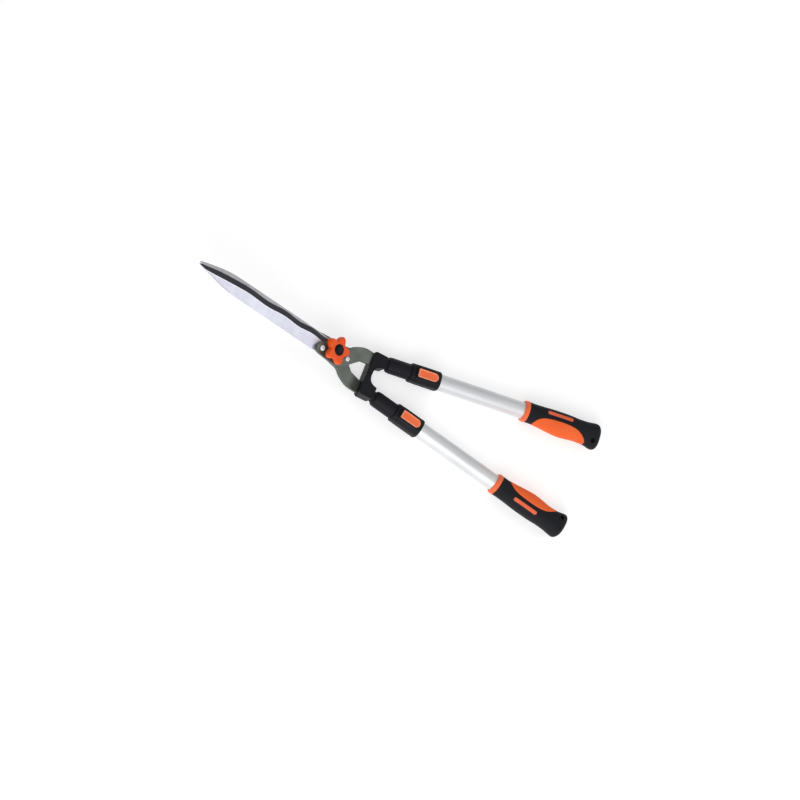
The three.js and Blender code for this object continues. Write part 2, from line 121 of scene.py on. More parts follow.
class Nodes:
    """A short way to write a material's node tree."""

    def __init__(self, name):
        self.material = bpy.data.materials.new(name)
        self.material.use_nodes = True
        self.tree = self.material.node_tree
        self.shader = self.tree.nodes["Principled BSDF"]
        self.place = self.tree.nodes.new("ShaderNodeTexCoord").outputs["Object"]

    def turned(self, axis, angle):
        """Lines the pattern up with a frame that is turned by `angle`."""
        node = self.tree.nodes.new("ShaderNodeVectorRotate")
        node.rotation_type = "AXIS_ANGLE"
        node.inputs["Axis"].default_value = axis
        node.inputs["Angle"].default_value = -angle
        self.link(self.place, node.inputs["Vector"])
        self.place = node.outputs["Vector"]

    def link(self, source, socket):
        self.tree.links.new(source, socket)

    def noise(self, scale, stretch=(1, 1, 1), detail=4, roughness=0.55):
        mapping = self.tree.nodes.new("ShaderNodeMapping")
        mapping.inputs["Scale"].default_value = stretch
        self.link(self.place, mapping.inputs["Vector"])
        noise = self.tree.nodes.new("ShaderNodeTexNoise")
        noise.inputs["Scale"].default_value = scale
        noise.inputs["Detail"].default_value = detail
        noise.inputs["Roughness"].default_value = roughness
        self.link(mapping.outputs["Vector"], noise.inputs["Vector"])
        return noise.outputs["Fac"]

    def spread(self, source, low, high, start=0.3, end=0.7):
        node = self.tree.nodes.new("ShaderNodeMapRange")
        for name, value in (("From Min", start), ("From Max", end), ("To Min", low), ("To Max", high)):
            node.inputs[name].default_value = value
        self.link(source, node.inputs["Value"])
        return node.outputs["Result"]

    def mix(self, factor, first, second):
        node = self.tree.nodes.new("ShaderNodeMix")
        node.data_type = "RGBA"
        self.link(factor, node.inputs["Factor"])
        for socket, value in ((node.inputs[6], first), (node.inputs[7], second)):
            if isinstance(value, tuple):
                socket.default_value = value
            else:
                self.link(value, socket)
        return node.outputs[2]

    def bump(self, height, strength, distance):
        node = self.tree.nodes.new("ShaderNodeBump")
        node.inputs["Strength"].default_value = strength
        node.inputs["Distance"].default_value = distance
        self.link(height, node.inputs["Height"])
        return node.outputs["Normal"]

    def finish(self, colour, roughness, normal=None, **constants):
        self.link(colour, self.shader.inputs["Base Color"])
        self.link(roughness, self.shader.inputs["Roughness"])
        if normal is not None:
            self.link(normal, self.shader.inputs["Normal"])
        for name, value in constants.items():
            self.shader.inputs[name.replace("_", " ")].default_value = value
        return self.material


def brushed(name, light, dark, rough, metallic, stretch, scale=900, strength=0.25, turn=((0, 1, 0), 0)):
    """Metal with fine scratches that run the way `stretch` is small, in the frame turned by `turn`."""
    n = Nodes(name)
    n.turned(*turn)
    lines = n.noise(scale, stretch, 3)
    cloud = n.noise(18, (1, 1, 1), 3)
    colour = n.mix(n.spread(cloud, 0, 1), dark, light)
    streaks = n.spread(lines, rough - 0.06, rough + 0.08)
    return n.finish(colour, streaks, n.bump(lines, strength, 0.00004), Metallic=metallic)


def moulded(name, colour, shade, rough, specular, grain=1400, strength=0.3, depth=0.00006, **constants):
    """Moulded plastic or rubber: fine grain, and a slow change of tone and gloss."""
    n = Nodes(name)
    fine = n.noise(grain, (1, 1, 1), 2)
    cloud = n.noise(35, (1, 1, 1), 4)
    tone = n.mix(n.spread(cloud, 0, 1), colour, shade)
    gloss = n.spread(cloud, rough - 0.05, rough + 0.06)
    constants["Specular_IOR_Level"] = specular
    return n.finish(tone, gloss, n.bump(fine, strength, depth), **constants)


def ground_steel():
    """The ground cutting bevel: dark, with grinding lines across the blade."""
    n = Nodes("ground_bevel")
    n.turned((0, 1, 0), CRANK)
    lines = n.noise(420, (6, 0.6, 0.6), 3)
    cloud = n.noise(24, (1, 1, 1), 3)
    colour = n.mix(n.spread(lines, 0, 1), srgb(46, 46, 52), srgb(68, 68, 76))
    gloss = n.spread(cloud, 0.34, 0.46)
    return n.finish(colour, gloss, n.bump(lines, 0.3, 0.00005), Metallic=0.55)


def painted_steel():
    """Satin grey-green arms: a fine orange-peel coat with a few scuffs."""
    n = Nodes("satin_arm")
    peel = n.noise(700, (1, 1, 1), 2)
    broad = n.noise(24, (1, 1, 1), 2)
    cloud = n.noise(30, (1, 1, 1), 5)
    scuffs = n.noise(260, (0.25, 3, 1), 5, 0.7)
    base = n.mix(n.spread(broad, 0, 1), srgb(78, 82, 76), srgb(108, 113, 106))
    colour = n.mix(n.spread(scuffs, 0, 0.35, 0.66, 0.8), base, srgb(150, 154, 150))
    gloss = n.spread(cloud, 0.38, 0.5)
    return n.finish(colour, gloss, n.bump(peel, 0.2, 0.00005), Metallic=0.45)


ALONG = (0.04, 1, 1)
ACROSS = (0.5, 0.05, 1)
EVEN = (1, 1, 1)
BLADE_TURN = ((0, 1, 0), CRANK)


def blade_finish(name, light, dark, roughness, metallic):
    return brushed(name, light, dark, roughness, metallic, ACROSS, turn=BLADE_TURN)


MATERIALS = {
    "blade_steel": blade_finish("blade_steel", srgb(226, 227, 240), srgb(214, 215, 230), 0.42, 0.6),
    # near-white copy of the blade steel: painted highlight along the border of the bevel
    "painted_highlight_line": blade_finish("painted_highlight_line", srgb(250, 250, 255), srgb(242, 243, 250), 0.38, 0.4),
    # darker copy of the blade steel: painted shade on the left blade and on the rim along the back of the
    # tip
    "shaded_blade_steel": blade_finish("shaded_blade_steel", srgb(172, 172, 178), srgb(154, 155, 161), 0.42, 0.6),
    "ground_bevel": ground_steel(),
    "arm_steel": painted_steel(),
    "rivet_steel": brushed(
        "rivet_steel", srgb(250, 250, 252), srgb(242, 242, 246), 0.38, 0.15, EVEN, 500, 0.1,
    ),
    # darker grey copy of the rivet steel: painted shade in the pit of the rivet head
    "shaded_rivet_pit": brushed(
        "shaded_rivet_pit", srgb(172, 166, 168), srgb(150, 145, 148), 0.45, 0.3, EVEN, 500, 0.1,
    ),
    "zinc_steel": brushed(
        "zinc_steel", srgb(206, 208, 212), srgb(184, 187, 194), 0.3, 0.9, EVEN, 300, 0.15,
    ),
    "spring_steel": brushed(
        "spring_steel", srgb(170, 170, 176), srgb(140, 141, 150), 0.28, 0.95, ALONG, 600, 0.15,
    ),
    "brass": brushed("brass", srgb(200, 165, 90), srgb(176, 142, 74), 0.3, 0.95, EVEN, 300, 0.15),
    **{
        f"{name}_tube": brushed(
            f"{name}_tube", srgb(232, 233, 235), srgb(222, 224, 227), 0.5, 0.62, ALONG, 700, 0.2,
            ((0, 0, 1), side * SPLAY),
        )
        for name, side in SIDES
    },
    "black_plastic": moulded("black_plastic", srgb(25, 24, 29), srgb(32, 31, 37), 0.5, 0.14),
    "black_gloss": moulded("black_gloss", srgb(17, 17, 20), srgb(24, 24, 28), 0.36, 0.12, 900, 0.12),
    "black_rubber": moulded(
        "black_rubber", srgb(22, 23, 27), srgb(30, 31, 36), 0.66, 0.18, 1100, 0.5, 0.0001,
    ),
    "orange_plastic": moulded(
        "orange_plastic", srgb(244, 90, 26), srgb(234, 80, 20), 0.42, 0.2, 900, 0.15,
    ),
    # paler copy of the button's coral: painted highlight on the border and sides of the button
    "button_rim_highlight": moulded(
        "button_rim_highlight", srgb(255, 158, 118), srgb(252, 148, 108), 0.44, 0.22, 900, 0.15,
    ),
    "coral_plastic": moulded(
        "coral_plastic", srgb(255, 122, 76), srgb(250, 112, 66), 0.44, 0.22, 900, 0.15,
    ),
    "orange_rubber": moulded(
        "orange_rubber", srgb(252, 112, 56), srgb(244, 102, 48), 0.62, 0.16, 1100, 0.4, 0.0001,
    ),
    "inlay_rubber": moulded(
        "inlay_rubber", srgb(240, 112, 74), srgb(232, 102, 66), 0.6, 0.18, 1100, 0.4, 0.0001,
    ),
}

# ---- curves ---------------------------------------------------------------------------------------


def monotone(table):
    """A smooth function through (x, y) points that makes no overshoot between them."""
    xs, ys = np.array(table, float).T
    step = np.diff(xs)
    slope = np.diff(ys) / step
    tangent = np.zeros_like(xs)
    tangent[0], tangent[-1] = slope[0], slope[-1]
    for i in range(1, len(xs) - 1):
        if slope[i - 1] * slope[i] > 0:
            before, after = 2 * step[i] + step[i - 1], step[i] + 2 * step[i - 1]
            tangent[i] = (before + after) / (before / slope[i - 1] + after / slope[i])

    def value(x):
        i = int(np.clip(np.searchsorted(xs, x) - 1, 0, len(step) - 1))
        t = min(max((x - xs[i]) / step[i], 0), 1)
        rise = ys[i] * (1 + 2 * t) * (1 - t) ** 2 + ys[i + 1] * t * t * (3 - 2 * t)
        return float(rise + step[i] * t * (1 - t) * (tangent[i] * (1 - t) - tangent[i + 1] * t))

    return value


def flowing(points, steps=6):
    """An open line through all the points, as a centripetal curve."""
    p = [Vector(q) for q in points]
    p = [2 * p[0] - p[1], *p, 2 * p[-1] - p[-2]]
    line = []
    for a, b, c, d in zip(p, p[1:], p[2:], p[3:]):
        t1 = (b - a).length ** 0.5
        t2 = t1 + (c - b).length ** 0.5
        t3 = t2 + (d - c).length ** 0.5
        for k in range(steps):
            t = t1 + (t2 - t1) * k / steps
            ab = a * ((t1 - t) / t1) + b * (t / t1)
            bc = b * ((t2 - t) / (t2 - t1)) + c * ((t - t1) / (t2 - t1))
            cd = c * ((t3 - t) / (t3 - t2)) + d * ((t - t2) / (t3 - t2))
            abc = ab * ((t2 - t) / t2) + bc * (t / t2)
            bcd = bc * ((t3 - t) / (t3 - t1)) + cd * ((t - t1) / (t3 - t1))
            line.append(abc * ((t2 - t) / (t2 - t1)) + bcd * ((t - t1) / (t2 - t1)))
    return [tuple(q) for q in [*line, p[-2]]]


def filleted(points, radius, steps=4, closed=True):
    """The line with its corners rounded; a point may carry its own radius as a third number."""
    line = []
    count = len(points)
    for i, point in enumerate(points):
        here = Vector(point[:2])
        size = point[2] if len(point) > 2 else radius
        if size <= 0 or (not closed and i in (0, count - 1)):
            line.append(tuple(here))
            continue
        before = Vector(points[i - 1][:2]) - here
        after = Vector(points[(i + 1) % count][:2]) - here
        corner = before.angle(after)
        reach = min(size / math.tan(corner / 2), 0.49 * before.length, 0.49 * after.length)
        start, end = here + before.normalized() * reach, here + after.normalized() * reach
        for k in range(steps + 1):
            t = k / steps
            line.append(tuple(start * (1 - t) ** 2 + here * 2 * t * (1 - t) + end * t * t))
    return line


# ---- meshes ---------------------------------------------------------------------------------------


def mesh_of(name, verts, faces):
    mesh = bpy.data.meshes.new(name)
    mesh.from_pydata([Vector(v) * MM for v in verts], [], faces)
    tidy = bmesh.new()
    tidy.from_mesh(mesh)
    bmesh.ops.remove_doubles(tidy, verts=tidy.verts, dist=1e-7)
    bmesh.ops.recalc_face_normals(tidy, faces=tidy.faces)
    tidy.to_mesh(mesh)
    tidy.free()
    return mesh


def loft(name, rings, around=True, capped=True):
    """Joins rings of the same number of points. Without `around` a ring is an open line."""
    verts = [point for ring in rings for point in ring]
    size = len(rings[0])
    faces = []
    for r in range(len(rings) - 1):
        for k in range(size if around else size - 1):
            n = (k + 1) % size
            faces.append((r * size + k, r * size + n, (r + 1) * size + n, (r + 1) * size + k))
    if capped:
        faces.append(tuple(range(size)))
        faces.append(tuple(range((len(rings) - 1) * size, len(rings) * size)))
    return mesh_of(name, verts, faces)


def lathe(name, profile, sides=72, closed=False):
    """Turned about X from (station, radius) points; a closed profile makes a ring."""
    line = [*profile, profile[0]] if closed else profile
    rings = []
    for k in range(sides):
        angle = 2 * math.pi * k / sides
        rings.append([(x, r * math.cos(angle), r * math.sin(angle)) for x, r in line])
    return loft(name, [*rings, rings[0]], around=False, capped=False)


def upright(mesh):
    mesh.transform(Matrix.Rotation(-math.pi / 2, 4, "Y"))
    return mesh


def prism(name, outline, low, high):
    return loft(name, [[(x, y, z) for x, y in outline] for z in (low, high)])


def block(name, low, high):
    (x0, y0, z0), (x1, y1, z1) = low, high
    return prism(name, [(x0, y0), (x1, y0), (x1, y1), (x0, y1)], z0, z1)


def rod(name, radius, low, high, x=0, y=0, sides=48):
    mesh = upright(lathe(name, [(low, 0), (low, radius), (high, radius), (high, 0)], sides))
    mesh.transform(Matrix.Translation(Vector((x, y, 0)) * MM))
    return mesh


def worked(mesh, *tools, edge=0, segments=3, angle=30):
    """The mesh with the tools cut out of it and its sharp edges rounded."""
    obj = bpy.data.objects.new(mesh.name, mesh)
    scene.collection.objects.link(obj)
    cutters = []
    for tool in tools:
        cutter = bpy.data.objects.new("cutter", tool)
        scene.collection.objects.link(cutter)
        carve = obj.modifiers.new("cut", "BOOLEAN")
        carve.object, carve.operation, carve.solver = cutter, "DIFFERENCE", "EXACT"
        cutters.append(cutter)
    if edge:
        bevel = obj.modifiers.new("edges", "BEVEL")
        bevel.width, bevel.segments = edge * MM, segments
        bevel.limit_method, bevel.angle_limit = "ANGLE", math.radians(angle)
    bpy.context.view_layer.update()
    made = bpy.data.meshes.new_from_object(obj.evaluated_get(bpy.context.evaluated_depsgraph_get()))
    made.name = mesh.name
    for extra in (obj, *cutters):
        bpy.data.objects.remove(extra)
    return made


def place(name, mesh, matrix, body, slot_name, finish=None, nodes=(), sharp=35):
    """Shows the mesh as a piece of the object, in place of the CAD nodes, riding on their body."""
    obj = bpy.data.objects.new(f"{name}_look", mesh)
    scene.collection.objects.link(obj)
    if not mesh.materials:
        mesh.materials.append(MATERIALS[finish or slot_name])
    for polygon in mesh.polygons:
        polygon.use_smooth = True
    mesh.set_sharp_from_angle(angle=math.radians(sharp))
    even = obj.modifiers.new("even", "WEIGHTED_NORMAL")
    even.keep_sharp = True
    mesh.transform(matrix)
    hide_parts(*(nodes or (name,)))
    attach(obj, body)
    return obj


# ---- blades ---------------------------------------------------------------------------------------

PLATE_LOW = 0.15
PLATE_HIGH = 3.15
WAVE = (-212, -28)
BEVEL_WIDTH = 8.4


def wave_at(x):
    t = (x - WAVE[0]) / (WAVE[1] - WAVE[0])
    return 8.3 + 4.6 * t - 0.6 * t * t + math.sin(2 * math.pi * (1.55 * t + 1.1 * t * t - 0.1))


blade_edge = monotone([
    (-272, -1.6), (-271, -1.1), (-258, 1.3), (-235, 5.2),
    *[(x, wave_at(x)) for x in np.arange(WAVE[0], WAVE[1] + 1, 2)],
    (-18, 11.4), (0, 12), (16, 9.5), (29, 6.6), (33, 3.4), (35, 0.2),
])
blade_spine = monotone([
    (-272, -2), (-270, -2.9), (-258, -6), (-245, -8.7), (-230, -11.5), (-215, -13.7), (-198, -14.7),
    (-180, -14.8), (-24, -14.8), (0, -14.8), (20, -12), (30, -7), (35, -0.2),
])
bevel_fade = monotone([(-272, 1), (-12, 1), (0, 0), (35, 0)])
bevel_width = monotone([(-272, 9), (-260.5, 6.3), (-250, 7.5), (-235, 8.6), (-212, 8.9), (35, BEVEL_WIDTH)])
# width of the painted highlight line beside the bevel
HIGHLIGHT_WIDTH = 0.9
# width of the painted shade rim along the back of the tip
TIP_SHADE_RIM = 0.8


def bevel_line(x):
    """Where the ground bevel starts; never past the back of the blade."""
    ground = min(bevel_width(x) * bevel_fade(x), blade_edge(x) - blade_spine(x) - 0.3)
    return blade_edge(x) - max(ground, 0.3)


def blade_mesh():
    stations = [*np.arange(-272, -262, 0.5), *np.arange(-262, 26, 1.25), *np.arange(26, 35.1, 0.5)]
    rings = []
    for x in stations:
        b, e, line, fade = blade_spine(x), blade_edge(x), bevel_line(x), bevel_fade(x)
        top = min(PLATE_HIGH, PLATE_LOW + 0.2 + 0.45 * (e - line)) if fade > 0.999 else PLATE_HIGH
        lip = PLATE_LOW + min(0.35, 0.5 * (top - PLATE_LOW)) + (top - PLATE_LOW - 0.6) * (1 - fade)
        soft = min(0.35, (line - b) / 4, (top - PLATE_LOW) / 4)
        room = line - b - soft
        # the points on the top bound the painted shade rim at the back and the painted highlight line by the
        # bevel
        rings.append([
            (x, b + soft, PLATE_LOW), (x, b, PLATE_LOW + soft), (x, b, top - soft), (x, b + soft, top),
            (x, b + soft + min(TIP_SHADE_RIM, room / 3), top), (x, line - min(HIGHLIGHT_WIDTH, room / 3), top),
            (x, line, top), (x, e - 0.1, lip), (x, e, lip - 0.12), (x, e - 0.06, PLATE_LOW),
        ])
    mesh = loft("blade", rings)
    bolt_hole = rod("hole", 4.3, -5, 10)
    return worked(mesh, bolt_hole)


def dress_blade(mesh, finish):
    """The bevel slopes towards the edge; a painted highlight line borders it, and the tip has a rim of
    painted shade.
    """
    for look in (finish, "ground_bevel", "painted_highlight_line", "shaded_blade_steel"):
        mesh.materials.append(MATERIALS[look])
    for polygon in mesh.polygons:
        slope, centre = polygon.normal, polygon.center / MM
        on_edge = centre.x < -2 and slope.y > 0.15
        flat = slope.z > 0.995 and centre.x < -20
        if on_edge and 0.3 < slope.z < 0.995:
            polygon.material_index = 1
        # flat top just inside the bevel line: painted highlight
        elif flat and centre.y > bevel_line(centre.x) - HIGHLIGHT_WIDTH:
            polygon.material_index = 2
        # flat top along the back near the tip: painted shade rim
        elif flat and centre.x < -205 and centre.y < blade_spine(centre.x) + TIP_SHADE_RIM + 0.3:
            polygon.material_index = 3
    return mesh


for name, side in SIDES:
    # the left blade takes the darker copy of the blade steel: painted shade
    blade = dress_blade(blade_mesh(), "blade_steel" if side > 0 else "shaded_blade_steel")
    place(f"{name}_blade", blade, on_blades(side), f"{name}_half", "blade_steel", sharp=12)

# ---- arms and rivets ------------------------------------------------------------------------------

ARM_LOW = 3.25
ARM_HIGH = 8.25
ARM_OUTLINE = [
    (86, 16.2), (76, 13.6), (69, 12.2), (62, 10.6), (56, 9.4), (51.2, 8.2), (47, 4.9), (42, 0.6),
    (37.2, -3.6), (33, -7.6), (29, -11.2), (22, -15.4), (14, -18), (2, -18.2), (-12, -17.4),
    (-24, -16.2), (-29.2, -13.4),
    (-31, -9), (-29.5, -4.5), (-25.5, 0.2), (-18, 3.6), (-6, 11), (12, 14.6), (26, 17.2), (33, 22.4),
    (42, 27),
    (52, 30.4), (62, 31.2), (69, 31.1), (76, 31.4), (86, 32),
]
FOLD = (63, 77)
RIVETS = (("front_rivet", -20.3, -7.3, 2.4, 4), ("rear_rivet", 28, 0, 2, 3.4))


def folded(point, side):
    """The flat plan taken round the crank: straight, an arc over FOLD, then level with the handles."""
    s, y, h = point
    start, end = FOLD
    turn = side * CRANK
    reach = min(max(s - start, 0), end - start)
    angle = turn * reach / (end - start)
    radius = (end - start) / turn
    x = start + radius * math.sin(angle) if s > start else s
    z = radius * (1 - math.cos(angle)) if s > start else 0
    beyond = max(s - end, 0)
    x += beyond * math.cos(turn) - h * math.sin(angle)
    z += beyond * math.sin(turn) + h * math.cos(angle)
    return x, y, z


def arm_mesh(side):
    mesh = prism("arm", flowing(ARM_OUTLINE, 5), ARM_LOW, ARM_HIGH)
    half = 4.3
    hole = rod("hole", half, 0, 20) if side > 0 else block("hole", (-half, -half, 0), (half, half, 20))
    mesh = worked(mesh, hole, edge=0.8, segments=3, angle=40)
    plan = bmesh.new()
    plan.from_mesh(mesh)
    for x in np.arange(FOLD[0], FOLD[1] + 0.1, 1):
        parts = [*plan.verts, *plan.edges, *plan.faces]
        bmesh.ops.bisect_plane(plan, geom=parts, plane_co=(x * MM, 0, 0), plane_no=(1, 0, 0))
    for vert in plan.verts:
        vert.co = Vector(folded(vert.co / MM, side)) * MM
    plan.to_mesh(mesh)
    plan.free()
    return mesh


def rivet_mesh(x, y, shank, head):
    top = ARM_HIGH + 0.1
    dome = filleted([
        (0.5, 0), (0.5, shank), (top, shank, 0), (top, head), (top + 0.9, head, 0.5),
        (top + 1.9, head * 0.76, 1.2), (top + 2.3, head * 0.3, 0.4), (top + 1.8, head * 0.2, 0.2),
        (top + 1.75, 0),
    ], 0.1, closed=False)
    mesh = upright(lathe("rivet", dome, 40))
    mesh.materials.append(MATERIALS["rivet_steel"])
    mesh.materials.append(MATERIALS["shaded_rivet_pit"])
    for polygon in mesh.polygons:
        centre = polygon.center / MM
        # the pit at the top of the dome takes the painted shade
        pit = math.hypot(centre.x, centre.y) < head * 0.24 and centre.z > top
        polygon.material_index = 1 if pit else 0
    mesh.transform(Matrix.Translation(Vector((x, y, 0)) * MM))
    return mesh


for name, side in SIDES:
    place(f"{name}_arm", arm_mesh(side), on_blades(side), f"{name}_half", "arm_steel", sharp=40)
    for kind, *sizes in RIVETS:
        place(f"{name}_{kind}", rivet_mesh(*sizes), on_blades(side), f"{name}_half", "rivet_steel")

# ---- bumper and sleeve ----------------------------------------------------------------------------

BUMPER_PLAN = [
    (0.7, 0.2, 0), (0.7, 29.8, 2), (1.8, 32.8, 2), (4.2, 34.3, 2), (21.2, 34.3, 2), (23, 33.5, 1),
    (23.6, 31.8, 1), (23.6, 15.4, 1.4), (21.4, 15, 1), (18, 14.2, 4), (14.4, 12.4, 4), (11.6, 9.8, 4),
    (10, 6.6, 4), (9.4, 3, 2), (9.4, 0.2, 0),
]
BUMPER_SLOT = [(-9, 11.8), (0, 11.8), (8, 13.6), (16.4, 15.4), (16.4, 32.6), (-9, 32.6)]
BUMPER_HALF = 11.5


SEAM_ZONE = 0.0018
SEAM_HALF = 0.0002
SEAM_SHARE = 0.3


def bumper_mesh(side):
    outline = [(x, side * y) for x, y in filleted(BUMPER_PLAN, 1, 4)]
    low, high = (ARM_LOW, ARM_HIGH) if side > 0 else (-ARM_HIGH, -ARM_LOW)
    slot_plan = [(x, side * y) for x, y in BUMPER_SLOT]
    slot = prism("slot", slot_plan, low - 0.45, high + 0.9)
    mesh = prism("bumper", outline, -BUMPER_HALF, BUMPER_HALF)
    mesh = worked(mesh, edge=1.5, segments=4, angle=50)
    for vert in mesh.vertices:
        away = abs(vert.co.y)
        if away < SEAM_ZONE:
            vert.co.y = side * max(SEAM_HALF, (away - SEAM_HALF) * SEAM_SHARE + SEAM_HALF)
    return worked(mesh, slot)


SLEEVE = filleted([
    (24.7, 0), (24.7, 8.3), (27.3, 8.3, 0.4), (27.3, 9.4, 0.3), (29.2, 11.4, 2.5), (33.5, 12, 4),
    (63.6, 12, 0.5), (63.6, 11.05, 0.1), (65.4, 11.05, 0.1), (65.4, 10.85, 0), (38, 10.85, 0),
    (38, 9.1, 0), (60, 9.1, 0),
    (60, 0),
], 0.3, closed=False)

# ---- telescopic tubes and lock --------------------------------------------------------------------


def tube_profile(start, end, inside, outside, soft):
    return filleted([(start, inside), (end, inside), (end, outside), (start, outside)], soft, 3)


INNER_TUBE = tube_profile(38.3, 342, 9.4, 10.8, 0.3)
OUTER_TUBE = tube_profile(88.6, 355, 11.35, 12.5, 0.3)
PEG_AT = 78
LOCK_PITCH = 50


def inner_tube_mesh():
    holes = [rod("hole", 2.5, 0, 20, PEG_AT + i * LOCK_PITCH) for i in range(5)]
    return worked(lathe("inner_tube", INNER_TUBE, 64, closed=True), *holes)


COLLAR_HALF = 13.9
COLLAR_CORNER = 10.4


def square_ring(x, half, corner, sides=96):
    """A ring that goes from a circle (corner = half) to a square with round corners."""
    flat = half - corner
    ring = []
    for k in range(sides):
        angle = 2 * math.pi * (k + 0.5) / sides
        c, s = math.cos(angle), math.sin(angle)
        reach = corner if flat <= 0 else square_reach(abs(c), abs(s), flat, corner)
        ring.append((x, reach * c, reach * s))
    return ring


def square_reach(c, s, flat, corner):
    """Distance from the centre to the rounded square along the direction (c, s)."""
    straight = (flat + corner) / max(c, s)
    if min(c, s) * straight <= flat:
        return straight
    middle = flat * (c + s)
    return middle + math.sqrt(max(middle * middle - 2 * flat * flat + corner * corner, 0))


def stadium(start, end, half, steps=14, flat_corner=0.8):
    """A strip along X with a square end towards the blades and a round one towards the grip."""
    centre = end - half
    corners = [(start, half, flat_corner), (start, -half, flat_corner)]
    line = filleted([(centre, half, 0), *corners, (centre, -half, 0)], 0, 3)
    for k in range(1, steps):
        angle = -math.pi / 2 + math.pi * k / steps
        line.append((centre + half * math.cos(angle), half * math.sin(angle)))
    return line


BUTTON_START = 72.9
BUTTON_END = 104.5
BUTTON_HALF = 6.4
BUTTON_BORDER = 2.1
POCKET = (72.4, 105, 6.9)


def collar_mesh():
    outer = [
        (64, 12.2, 12), (64.2, 12.9, 11.6), (64.8, 13.5, 11), (65.8, 13.75, 10.6), (71.3, 13.8, 10.5),
        (71.7, 13.65, 10.5), (71.9, 13.4, 10.5), (72.3, 13.4, 10.5), (72.5, 13.65, 10.5), (73, 13.85, 10.4),
        (73.6, COLLAR_HALF, COLLAR_CORNER), (108.4, COLLAR_HALF, COLLAR_CORNER), (109.6, 13.75, 10.5),
        (110.3, 13.4, 10.8), (110.5, 13.1, 11),
    ]
    bore = [(110.5, 12.8), (88.3, 12.8), (88.3, 11.1), (64, 11.1)]
    rings = [square_ring(*row) for row in outer] + [square_ring(x, r, r) for x, r in bore]
    shell = loft("collar", [*rings, rings[0]], capped=False)
    pocket = prism("pocket", stadium(*POCKET), 13.7, 20)
    peg_hole = rod("hole", 2.7, 9, 16, PEG_AT)
    return worked(shell, pocket, peg_hole)


def boss_mesh():
    """The raised frame round the button."""
    outline = stadium(70.4, 107.2, 9.3, 18, 1.6)
    hole = prism("hole", stadium(*POCKET), 5, 20)
    frame_block = worked(prism("boss", outline, 13.2, 16.8), edge=0.9, segments=4, angle=50)
    return worked(frame_block, hole, edge=0.25, segments=2)


def button_mesh():
    """Rings of one outline drawn in from its edge: side, border, groove and the pressed centre."""
    rows = [
        (0, 15.5), (0, 16.9), (0.12, 17.25), (0.4, 17.5), (0.75, 17.6), (1.5, 17.6), (1.75, 17.5),
        (2.0, 17.2), (2.4, 17.08), (3.4, 17.02),
    ]
    rings = []
    for inset, z in rows:
        start, end, half = BUTTON_START + inset, BUTTON_END - inset, BUTTON_HALF - inset
        outline = stadium(start, end, half, 14, max(1.2 - inset, 0.2))
        rings.append([(x, y, z) for x, y in outline])
    mesh = loft("button", rings)
    mesh.materials.append(MATERIALS["coral_plastic"])
    mesh.materials.append(MATERIALS["button_rim_highlight"])
    middle_start, middle_end = BUTTON_START + BUTTON_BORDER, BUTTON_END - BUTTON_BORDER
    # all but the pressed centre takes the painted highlight
    for polygon in mesh.polygons:
        centre = polygon.center / MM
        inside = abs(centre.y) < BUTTON_HALF - BUTTON_BORDER and middle_start < centre.x < middle_end
        polygon.material_index = 0 if inside else 1
    return mesh


SPRING_FOOT = 13.8
SPRING_STEPS = 24


def spring_mesh():
    """A bowed leaf that stands on its two ends under the button."""
    start, end, half, bow, thick = 92.2, 102.8, 2.4, 0.86, 0.3
    rings = []
    for k in range(SPRING_STEPS + 1):
        t = k / SPRING_STEPS
        x = start + (end - start) * t
        low = SPRING_FOOT + bow * 4 * t * (1 - t)
        corners = [(-half, low), (half, low), (half, low + thick), (-half, low + thick)]
        rings.append([(x, y, z) for y, z in corners])
    return loft("spring", rings)


# ---- grips ----------------------------------------------------------------------------------------

GRIP_SECTIONS = [
    (253.8, 15, 15, 15), (263.5, 14.6, 14.9, 14.8), (277, 14.9, 16.2, 15), (296, 15.6, 19, 15.4),
    (310, 15.6, 20.2, 15.5), (322.5, 15.2, 19.5, 15.4), (336.5, 14.3, 18.4, 15.1), (346.5, 14.4, 18.9, 15.1),
    (355, 15.3, 20.8, 15.4), (361, 15.9, 22.5, 15.5), (364, 15.5, 22.6, 15), (366.4, 14.1, 21.6, 13.8),
    (368.4, 11.4, 19.4, 11.8), (369.8, 7.2, 15.8, 8.8), (370.4, 2.4, 11, 4.6), (370.5, 0.4, 8.8, 1),
]
GRIP_POWER = 0.85
HANG_HOLE_RADIUS = 3.4
OUT, BELLY, HALF = (monotone([(row[0], row[i]) for row in GRIP_SECTIONS]) for i in (1, 2, 3))


def grip_point(x, angle, lift=0):
    """A point of the right grip's skin, raised by `lift`; angle 0 is the outer side, 180 deg the belly."""
    c, s = math.cos(angle), math.sin(angle)
    y = math.copysign(abs(c) ** GRIP_POWER, c) * ((OUT(x) if c > 0 else BELLY(x)) + lift)
    return x, y, math.copysign(abs(s) ** GRIP_POWER, s) * (HALF(x) + lift)


def grip_mesh(side):
    stations = [253.8, 254, 254.5, *np.arange(255, 360, 1), *np.arange(360, 369, 0.5)]
    stations += [369, 369.4, 369.8, 370.1, 370.3, 370.42, 370.5]
    shrink = {253.8: -0.7, 254: -0.3, 254.5: -0.08}
    rings = []
    for x in stations:
        angles = [2 * math.pi * k / 112 for k in range(112)]
        rings.append([grip_point(x, a, shrink.get(x, 0)) for a in angles])
    rings = [[(x, side * y, z) for x, y, z in ring] for ring in rings]
    mesh = loft("grip", rings)
    bore = lathe("bore", [(240, 0), (240, 12.8), (355.3, 12.8), (355.3, 0)], 64)
    hole = rod("hole", HANG_HOLE_RADIUS, -30, 30, 358.5, side * -12.5, 40)
    return worked(mesh, bore, hole)


PAD_TOP = [
    (264.5, -14.4), (266, -12), (268.5, -9.2), (272.5, -6.2), (278, -3.9), (286, -2.2), (294, -1.4),
    (306, -1),
    (318.5, -1.6), (329.5, -3.8), (338, -8), (343.5, -12.4), (347, -16), (348.6, -18),
]


